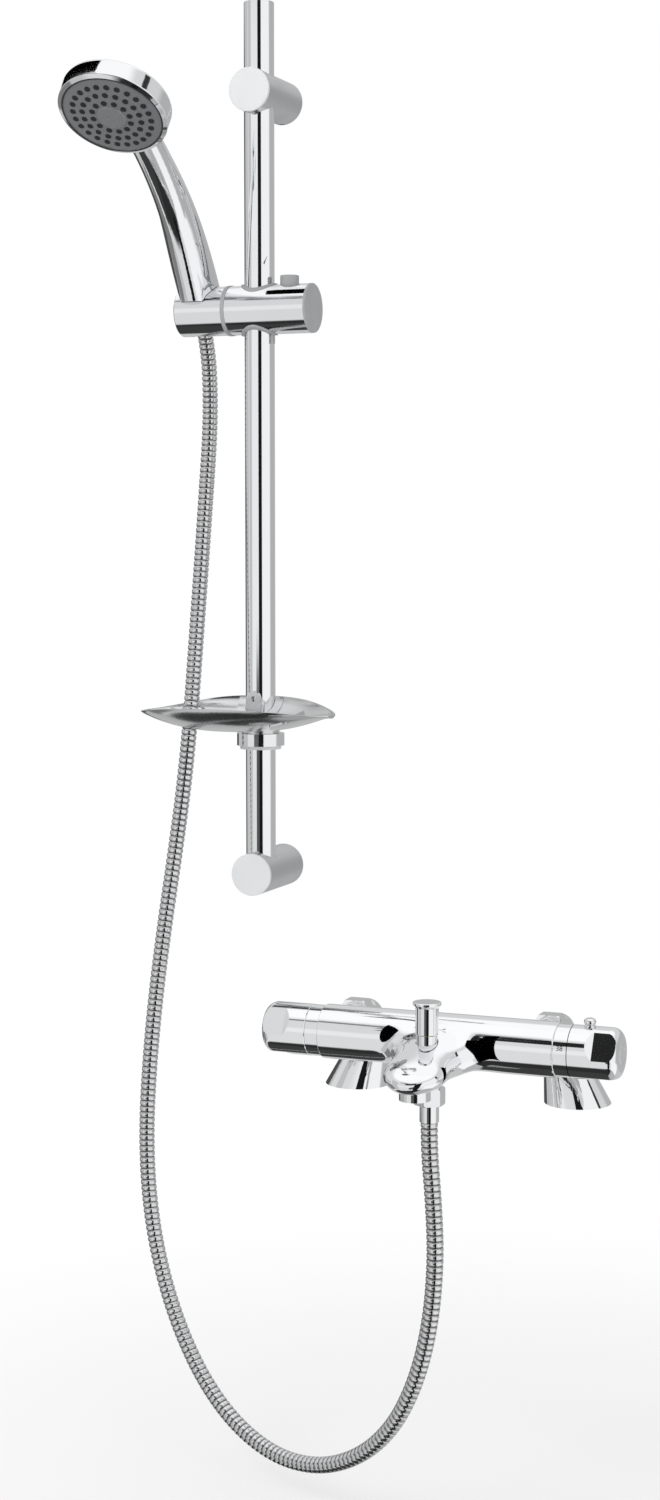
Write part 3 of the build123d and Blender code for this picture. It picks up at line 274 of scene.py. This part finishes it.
def newFinish(name, colour, metallic, smudgeScale, roughness, bump, shade):
    # a Principled finish on the shared surface group; shade darkens the colour in slow patches
    material = bpy.data.materials.new(name)
    material.use_nodes = True
    tree = material.node_tree
    shader = tree.nodes["Principled BSDF"]
    shader.inputs["Metallic"].default_value = metallic
    group = tree.nodes.new("ShaderNodeGroup")
    group.node_tree = handledSurface
    for label, value in (("Smudge Scale", smudgeScale), ("Roughness Low", roughness[0]),
                         ("Roughness High", roughness[1]), ("Bump", bump)):
        group.inputs[label].default_value = value
    tree.links.new(group.outputs["Roughness"], shader.inputs["Roughness"])
    tree.links.new(group.outputs["Normal"], shader.inputs["Normal"])
    blend = tree.nodes.new("ShaderNodeMix")
    blend.data_type = "RGBA"
    blend.inputs["A"].default_value = (*colour, 1)
    blend.inputs["B"].default_value = (*[part * (1 - shade) for part in colour], 1)
    tree.links.new(group.outputs["Smudge"], blend.inputs["Factor"])
    tree.links.new(blend.outputs["Result"], shader.inputs["Base Color"])
    return material


# each finish: colour, metallic, smudge scale, lowest and highest roughness, bump, darkening
chrome = newFinish("polishedChrome", (0.86, 0.87, 0.88), 1.0, 22.0, (0.035, 0.07), 0.02, 0.04)
platedPlastic = newFinish("platedPlastic", (0.83, 0.84, 0.855), 1.0, 28.0, (0.05, 0.1), 0.03, 0.05)
satinChrome = newFinish("satinChrome", (0.6, 0.61, 0.62), 1.0, 40.0, (0.34, 0.42), 0.04, 0.04)
greyPlastic = newFinish("greyPlastic", (0.4, 0.41, 0.42), 0.0, 60.0, (0.38, 0.5), 0.12, 0.08)
facePlastic = newFinish("sprayFacePlastic", (0.2, 0.205, 0.215), 0.0, 60.0, (0.3, 0.42), 0.1, 0.08)
discPlastic = newFinish("centreDiscPlastic", (0.3, 0.31, 0.32), 0.3, 60.0, (0.22, 0.32), 0.05, 0.05)
softChrome = newFinish("softChrome", (0.66, 0.67, 0.675), 1.0, 26.0, (0.16, 0.22), 0.03, 0.05)
palePlastic = newFinish("palePlastic", (0.78, 0.79, 0.8), 0.0, 60.0, (0.28, 0.4), 0.06, 0.05)
nozzleRubber = newFinish("nozzleRubber", (0.022, 0.022, 0.024), 0.0, 200.0, (0.45, 0.6), 0.15, 0.1)
sealRubber = newFinish("sealRubber", (0.02, 0.02, 0.021), 0.0, 90.0, (0.5, 0.7), 0.2, 0.1)
castBrass = newFinish("turnedBrass", (0.72, 0.53, 0.26), 1.0, 60.0, (0.2, 0.34), 0.08, 0.1)
plainSteel = newFinish("stainlessSteel", (0.6, 0.6, 0.61), 1.0, 70.0, (0.18, 0.3), 0.08, 0.08)


def hoseFinish():
    # chrome with painted shade: its colour darkens to near black in the grooves between the ribs
    material = newFinish("hoseChromeGrooveShaded", (0.72, 0.725, 0.735), 1.0, 50.0, (0.09, 0.16), 0.03, 0.06)
    tree = material.node_tree
    shader = tree.nodes["Principled BSDF"]
    base = shader.inputs["Base Color"].links[0].from_socket
    groove = tree.nodes.new("ShaderNodeAttribute")   # written by the ribbedHose tree
    groove.attribute_name = "groove"
    # painted shade: the base colour goes to near black where the groove profile is high
    grooveShadeMix = tree.nodes.new("ShaderNodeMix")
    grooveShadeMix.data_type = "RGBA"
    grooveShadeMix.inputs["B"].default_value = (0.015, 0.015, 0.017, 1)
    tree.links.new(groove.outputs["Fac"], grooveShadeMix.inputs["Factor"])
    tree.links.new(base, grooveShadeMix.inputs["A"])
    tree.links.new(grooveShadeMix.outputs["Result"], shader.inputs["Base Color"])
    return material


hoseChromeGrooveShaded = hoseFinish()

print("laying the hose")
line = routeLine(hose["route"])   # its points, from the hand shower down
ribbed = ribbedTree()
split, upper, top = hose["sliderSplit"], hose["holderSplit"], hose["route"][0][2]
loopStart = next(index for index, point in enumerate(line) if point.z < split)
above, below = line[loopStart - 1], line[loopStart]
crossing = above.lerp(below, (split - above.z) / (below.z - above.z))
mainLine = list(reversed([crossing] + line[loopStart:]))
mainHose = hoseStretch("hoseMain", mainLine, ribbed, hoseChromeGrooveShaded)
railLine = line[:loopStart + 1]
sliderHose = hoseStretch("hoseAtSlider", cutLine(railLine, split, upper), ribbed, hoseChromeGrooveShaded)
holderHose = hoseStretch("hoseAtHolder", [line[0]] + cutLine(railLine, upper, top), ribbed, hoseChromeGrooveShaded)
for piece in (mainHose, sliderHose, holderHose):
    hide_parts("shower_hose")
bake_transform(mainHose)
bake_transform(sliderHose)
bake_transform(holderHose)

print("blending the spout into the bar")
bodyBlend = {
    "voxel": 0.0009,
    "radius": 0.0208, "barY": -0.061, "barZ": 0.053, "halfLength": 0.0922,   # the bar's round
    "barSkin": 0.0003,   # how near the round a point has to lie to count as the bar's
    "bores": ((-0.092, 0.0105), (-0.086, 0.0105)),   # the upright bores' y and the radius that is left alone
    "reach": 0.019, "rounds": 420,   # how far and how often the crease is rubbed
    "spoutRounds": 6, "factor": 0.5,
}


def nearTree(points):
    # finds the nearest of the points
    tree = KDTree(len(points))
    for index, point in enumerate(points):
        tree.insert(point, index)
    tree.balance()
    return tree


def smoothBody():
    # the casting as an even mesh, its crease between bar and spout rubbed into a soft hollow
    piece = linkObject("mixerBodySkin", nodes["mixer_body"].data.copy())
    even = piece.modifiers.new("even", "REMESH")
    even.mode = "VOXEL"
    even.voxel_size = bodyBlend["voxel"]
    even.use_smooth_shade = True
    piece = bakeModifiers(piece)
    radius, barY, barZ = bodyBlend["radius"], bodyBlend["barY"], bodyBlend["barZ"]
    barPoints, spoutPoints, places = [], [], []
    for vertex in piece.data.vertices:
        x, y, z = vertex.co
        away = sqrt((y - barY) ** 2 + (z - barZ) ** 2)
        kind = "other"
        if abs(x) < bodyBlend["halfLength"]:
            if abs(away - radius) < bodyBlend["barSkin"]:
                kind = "bar"
                share = radius / away
                vertex.co = (x, barY + (y - barY) * share, barZ + (z - barZ) * share)
                barPoints.append(vertex.co.copy())
            elif away > radius and y < barY:
                inBore = any(sqrt(x ** 2 + (y - boreY) ** 2) < left for boreY, left in bodyBlend["bores"])
                kind = "other" if inBore else "spout"
                if not inBore:
                    spoutPoints.append(vertex.co.copy())
        places.append(kind)
    nearBar, nearSpout = nearTree(barPoints), nearTree(spoutPoints)
    crease = piece.vertex_groups.new(name="crease")
    spout = piece.vertex_groups.new(name="spout")
    for vertex, kind in zip(piece.data.vertices, places):
        if kind == "other":
            continue
        distance = (nearSpout if kind == "bar" else nearBar).find(vertex.co)[2]
        share = max(0.0, 1 - distance / bodyBlend["reach"])
        if share > 0:
            crease.add([vertex.index], share * share * (3 - 2 * share), "REPLACE")
        if kind == "spout":
            spout.add([vertex.index], 1.0, "REPLACE")
    for name, rounds in (("spout", bodyBlend["spoutRounds"]), ("crease", bodyBlend["rounds"])):
        rub = piece.modifiers.new(name, "SMOOTH")
        rub.vertex_group = name
        rub.iterations = rounds
        rub.factor = bodyBlend["factor"]
    # away from the crease the skin keeps the casting's own normals
    keep = piece.modifiers.new("keep", "DATA_TRANSFER")
    keep.object = nodes["mixer_body"]
    keep.use_loop_data = True
    keep.data_types_loops = {"CUSTOM_NORMAL"}
    keep.loop_mapping = "POLYINTERP_NEAREST"
    keep.vertex_group = "crease"
    keep.invert_vertex_group = True
    piece = bakeModifiers(piece)
    piece.data.materials.clear()
    piece.data.materials.append(chrome)
    print("body skin", len(piece.data.vertices), "vertices", len(barPoints), "on the bar")
    return piece


bodySkin = smoothBody()
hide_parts("mixer_body")
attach(bodySkin, "mixer")

print("marking the temperature ring")
ringMark = {"digits": "38", "height": 0.0052, "proud": 0.0001, "lift": 15.0}


def markRing():
    # a plain number that follows the round of the ring
    data = bpy.data.curves.new("ringNumber", "FONT")
    data.body = ringMark["digits"]
    data.size = ringMark["height"]
    data.align_x = "CENTER"
    data.align_y = "CENTER"
    data.extrude = ringMark["proud"] / 2
    number = bakeModifiers(linkObject("ringNumber", data))
    barY, barZ = bodyBlend["barY"], bodyBlend["barZ"]
    ring = [vertex.co for vertex in nodes["temperature_ring"].data.vertices]
    middle = (min(point.x for point in ring) + max(point.x for point in ring)) / 2
    radius = max(sqrt((point.y - barY) ** 2 + (point.z - barZ) ** 2) for point in ring)
    for vertex in number.data.vertices:
        along, up, out = vertex.co
        turn = radians(ringMark["lift"]) + up / radius
        away = radius + out + ringMark["proud"] / 2
        vertex.co = (middle + along, barY - away * cos(turn), barZ + away * sin(turn))
    number.data.materials.clear()
    number.data.materials.append(sealRubber)
    return number


ringNumber = markRing()
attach(ringNumber, "mixer")

print("finishing the CAD nodes")
nodeFinishes = {
    chrome: ["rail_tube", "flow_handle", "temperature_handle", "flow_handle_cap",
             "temperature_handle_cap", "diverter_knob", "aerator_housing", "union_nuts", "deck_legs",
             "deck_shrouds", "hose_lower_nut", "hose_lower_ferrule", "hose_upper_ferrule", "hose_cone_nut",
             "flow_ring", "temperature_ring", "diverter_bush", "shower_outlet_nipple"],
    platedPlastic: ["handset_body", "handset_bezel", "slider_body", "handset_holder",
                    "soap_dish_collar", "override_button", "rail_top_plug"],
    softChrome: ["soap_dish"],
    satinChrome: ["upper_bracket", "lower_bracket"],
    greyPlastic: ["slider_bush", "slider_button", "slider_end_cap", "holder_liner", "swivel_ring"],
    facePlastic: ["spray_plate"],
    discPlastic: ["spray_centre_disc"],
    palePlastic: ["bracket_caps", "soap_dish_bush", "aerator_insert", "clamp_shoe", "wall_plates"],
    nozzleRubber: ["spray_nozzles"],
    sealRubber: ["handset_inlet_washer", "hose_lower_washer", "deck_gaskets"],
    castBrass: ["flow_cartridge", "thermostatic_cartridge", "flow_spindle", "temperature_spindle",
                "diverter_spindle", "handset_inlet"],
    plainSteel: ["slider_button_spring", "override_spring", "bracket_grub_screws", "inlet_filters",
                 "flow_handle_screw", "temperature_handle_screw", "swivel_pin"],
}
for finish, names in nodeFinishes.items():
    for name in names:
        for slot in nodes[name].material_slots:
            slot.material = finish


print("setting the studio")
studio = {
    "floor": -0.335, "floorReach": 6.0, "floorGrey": 0.95, "floorRoughness": 0.9,
    "shadowKept": 0.5, "shadowReach": 0.9,
    "level": 0.62,   # the tent's light on all that doesn't mirror it
    "lampPower": 26.0, "lampPlace": (-1.1, -1.9, 1.9),
    "fillPower": 10.0, "fillPlace": (1.7, -1.4, 1.0),
    "lampSize": 1.6, "aim": (-0.1, 0, 0.25),
}


def rampBetween(tree, value, low, high, start=0.0, end=1.0):
    # a smooth step from start to end as the value goes from low to high
    node = tree.nodes.new("ShaderNodeMapRange")
    node.interpolation_type = "SMOOTHSTEP"
    for label, number in (("From Min", low), ("From Max", high), ("To Min", start), ("To Max", end)):
        node.inputs[label].default_value = number
    tree.links.new(value, node.inputs["Value"])
    return node.outputs[0]


def bandBetween(tree, value, low, high, soft):
    # one inside the band, nothing outside it
    inside = rampBetween(tree, value, low - soft, low)
    past = rampBetween(tree, value, high, high + soft, 1.0, 0.0)
    return mathStep(tree, "MULTIPLY", inside, past)


def floorFinish():
    # white far away, and near the object a pale floor that keeps its shadow
    material = bpy.data.materials.new("paleFloor")
    material.use_nodes = True
    tree = material.node_tree
    shader = tree.nodes["Principled BSDF"]
    shader.inputs["Base Color"].default_value = (*[studio["floorGrey"]] * 3, 1)
    shader.inputs["Roughness"].default_value = studio["floorRoughness"]
    glow = tree.nodes.new("ShaderNodeEmission")
    path = tree.nodes.new("ShaderNodeLightPath")
    place = tree.nodes.new("ShaderNodeTexCoord")
    away = tree.nodes.new("ShaderNodeVectorMath")
    away.operation = "LENGTH"
    tree.links.new(place.outputs["Object"], away.inputs[0])
    share = rampBetween(tree, away.outputs["Value"], studio["shadowReach"] / 3, studio["shadowReach"],
                        1 - studio["shadowKept"], 1.0)
    mix = tree.nodes.new("ShaderNodeMixShader")
    tree.links.new(mathStep(tree, "MULTIPLY", path.outputs["Is Camera Ray"], share), mix.inputs[0])
    tree.links.new(shader.outputs[0], mix.inputs[1])
    tree.links.new(glow.outputs[0], mix.inputs[2])
    tree.links.new(mix.outputs[0], tree.nodes["Material Output"].inputs[0])
    return material


floorMesh = bpy.data.meshes.new("floor")
reach = studio["floorReach"]
corners = [(-reach, -reach), (reach, -reach), (reach, reach), (-reach, reach)]
floorMesh.from_pydata([(x, y, studio["floor"]) for x, y in corners], [], [(0, 1, 2, 3)])
floorMesh.materials.append(floorFinish())
floor = linkObject("floor", floorMesh)
floor.visible_glossy = False   # the metal sees the light tent instead

# dark cards close to the metal, each seen by its own piece alone: rows of edge points, in metres
darkCards = {
    "headCard": {"near": 0.07, "far": 0.15, "rows": [
        ((-0.3079, -0.1207, 0.8743), (-0.2719, -0.1113, 0.9018)),
        ((-0.329, -0.1117, 0.8682), (-0.2991, -0.1074, 0.8991)),
        ((-0.3471, -0.0994, 0.86), (-0.3241, -0.0983, 0.893)),
        ((-0.3616, -0.0845, 0.85), (-0.3455, -0.0848, 0.8839)),
        ((-0.3718, -0.0677, 0.8387), (-0.3621, -0.0677, 0.8725)),
        ((-0.3775, -0.0498, 0.8268), (-0.3731, -0.0481, 0.8594)),
        ((-0.3785, -0.0317, 0.8146), (-0.378, -0.0274, 0.8455)),
        ((-0.3749, -0.0143, 0.8029), (-0.3767, -0.0069, 0.8317)),
        ((-0.3671, 0.0017, 0.7922), (-0.3696, 0.0122, 0.8189))]},
    "sliderCard": {"near": 0.031, "far": 0.045, "rows": [
        ((-0.2188, 0.0737, 0.6583), (-0.2187, 0.0922, 0.6643)),
        ((-0.1731, 0.0736, 0.6585), (-0.1731, 0.0923, 0.6646))]},
    "spoutLeftCard": {"near": 0.008, "far": 0.04, "rows": [
        ((-0.0457, -0.0925, 0.02), (-0.0457, -0.0925, 0.09)),
        ((-0.0419, -0.0991, 0.02), (-0.0419, -0.0991, 0.09)),
        ((-0.0367, -0.1037, 0.02), (-0.0367, -0.1037, 0.09))]},
    "spoutRightCard": {"near": 0.006, "far": 0.03, "rows": [
        ((0.031, -0.099, 0.02), (0.031, -0.099, 0.085)),
        ((0.044, -0.097, 0.02), (0.044, -0.097, 0.085))]},
}


def cardFinish(near, far):
    # black for what stands between near and far, clear for the rest
    material = bpy.data.materials.new("darkCard")
    material.use_nodes = True
    tree = material.node_tree
    black = tree.nodes["Principled BSDF"]
    black.inputs["Base Color"].default_value = (0, 0, 0, 1)
    black.inputs["Specular IOR Level"].default_value = 0
    clear = tree.nodes.new("ShaderNodeBsdfTransparent")
    away = tree.nodes.new("ShaderNodeMath")
    away.operation = "COMPARE"
    away.inputs[1].default_value = (near + far) / 2
    away.inputs[2].default_value = (far - near) / 2
    mix = tree.nodes.new("ShaderNodeMixShader")
    tree.links.new(tree.nodes.new("ShaderNodeLightPath").outputs["Ray Length"], away.inputs[0])
    tree.links.new(away.outputs[0], mix.inputs[0])
    tree.links.new(clear.outputs[0], mix.inputs[1])
    tree.links.new(black.outputs[0], mix.inputs[2])
    tree.links.new(mix.outputs[0], tree.nodes["Material Output"].inputs[0])
    return material


for name, card in darkCards.items():
    cardMesh = bpy.data.meshes.new(name)
    count = len(card["rows"])
    cardMesh.from_pydata([point for row in card["rows"] for point in row], [],
                         [(2 * row, 2 * row + 1, 2 * row + 3, 2 * row + 2) for row in range(count - 1)])
    cardMesh.materials.append(cardFinish(card["near"], card["far"]))
    cardObject = linkObject(name, cardMesh)
    for ray in ("camera", "diffuse", "transmission", "volume_scatter", "shadow"):
        setattr(cardObject, "visible_" + ray, False)


def addLamp(name, place, power, size):
    # a soft lamp that the metal doesn't mirror, turned to the middle of the object
    data = bpy.data.lights.new(name, "AREA")
    data.energy = power
    data.size = size
    lamp = linkObject(name, data)
    lamp.location = place
    lamp.rotation_euler = (Vector(place) - Vector(studio["aim"])).to_track_quat("Z", "Y").to_euler()
    lamp.visible_glossy = False


addLamp("keyLamp", studio["lampPlace"], studio["lampPower"], studio["lampSize"])
addLamp("fillLamp", studio["fillPlace"], studio["fillPower"], studio["lampSize"])

# the light tent that the metal reflects, in degrees and greys: in front and behind, the grey at the foot
# and then each step up, as where it starts, where it ends and its grey; over them flags, each with its
# turn from the front (low, high), its rise from level (low, high), its soft edge and its grey
tent = {
    "frontLow": 0.03,
    "front": [(-56.0, -50.0, 0.82), (-8.0, -2.0, 0.95), (9.0, 16.0, 0.8), (46.0, 58.0, 1.15)],
    "backLow": 0.3,
    "back": [(-58.0, -48.0, 0.62), (-22.0, -12.0, 0.5), (12.0, 20.0, 0.74), (44.0, 56.0, 1.12)],
    "backTurn": (98.0, 114.0),
    "flags": [
        (42.0, 100.0, -22.0, 34.0, 4.0, 1.02),
        (58.0, 126.0, -52.0, -22.0, 4.0, 1.08),
        (60.0, 185.0, -95.0, -54.0, 4.0, 0.5),
        (-66.0, -44.0, -40.0, 36.0, 4.0, 0.6),
        (-112.0, -70.0, -40.0, -14.0, 3.0, 0.24),
        (-112.0, -74.0, -12.0, 12.0, 3.0, 0.6),
        (-146.0, -112.0, -20.0, 10.0, 3.0, 0.08),
        (-165.0, -60.0, -88.0, -50.0, 3.0, 0.05),
        (12.0, 36.0, -64.0, 33.0, 1.5, 0.01),
        (-8.0, 12.0, -30.0, -4.0, 2.0, 0.1),
        (-21.5, 12.5, 28.0, 38.5, 1.2, 0.02),
        (-25.0, 12.5, 38.0, 44.0, 1.2, 0.02),
        (-38.0, -24.5, 43.0, 47.0, 1.2, 0.25),
        (100.0, 108.0, 20.0, 40.0, 1.5, 0.04),
    ],
}


def buildWorld():
    # white for the camera, the tent for the metal and one even level for the rest
    world = bpy.data.worlds.new("lightTent")
    scene.world = world
    world.use_nodes = True
    tree = world.node_tree
    make, link = tree.nodes.new, tree.links.new
    place = make("ShaderNodeTexCoord")
    split = make("ShaderNodeSeparateXYZ")
    link(place.outputs["Generated"], split.inputs[0])
    forward = mathStep(tree, "MULTIPLY", split.outputs["Y"], -1.0)
    turn = mathStep(tree, "MULTIPLY", mathStep(tree, "ARCTAN2", split.outputs["X"], forward), degrees(1))
    rise = mathStep(tree, "MULTIPLY", mathStep(tree, "ARCSINE", split.outputs["Z"]), degrees(1))

    def over(under, mask, top):
        # under where the mask is 0, top where it is 1
        mix = make("ShaderNodeMix")
        link(mask, mix.inputs[0])
        for socket, value in ((mix.inputs[2], under), (mix.inputs[3], top)):
            if isinstance(value, float):
                socket.default_value = value
            else:
                link(value, socket)
        return mix.outputs[0]

    columns = []
    for side in ("front", "back"):
        grey = tent[side + "Low"]
        for low, high, nextGrey in tent[side]:
            grey = over(grey, rampBetween(tree, rise, low, high), nextGrey)
        columns.append(grey)
    turned = rampBetween(tree, mathStep(tree, "ABSOLUTE", turn), *tent["backTurn"])
    seen = over(columns[0], turned, columns[1])
    for turnLow, turnHigh, riseLow, riseHigh, soft, grey in tent["flags"]:
        mask = mathStep(tree, "MULTIPLY", bandBetween(tree, turn, turnLow, turnHigh, soft),
                        bandBetween(tree, rise, riseLow, riseHigh, soft))
        seen = over(seen, mask, grey)
    path = make("ShaderNodeLightPath")
    lit = over(studio["level"], path.outputs["Is Glossy Ray"], seen)
    final = over(lit, path.outputs["Is Camera Ray"], 1.0)
    link(final, tree.nodes["Background"].inputs["Color"])


buildWorld()
scene.view_settings.view_transform = "Standard"
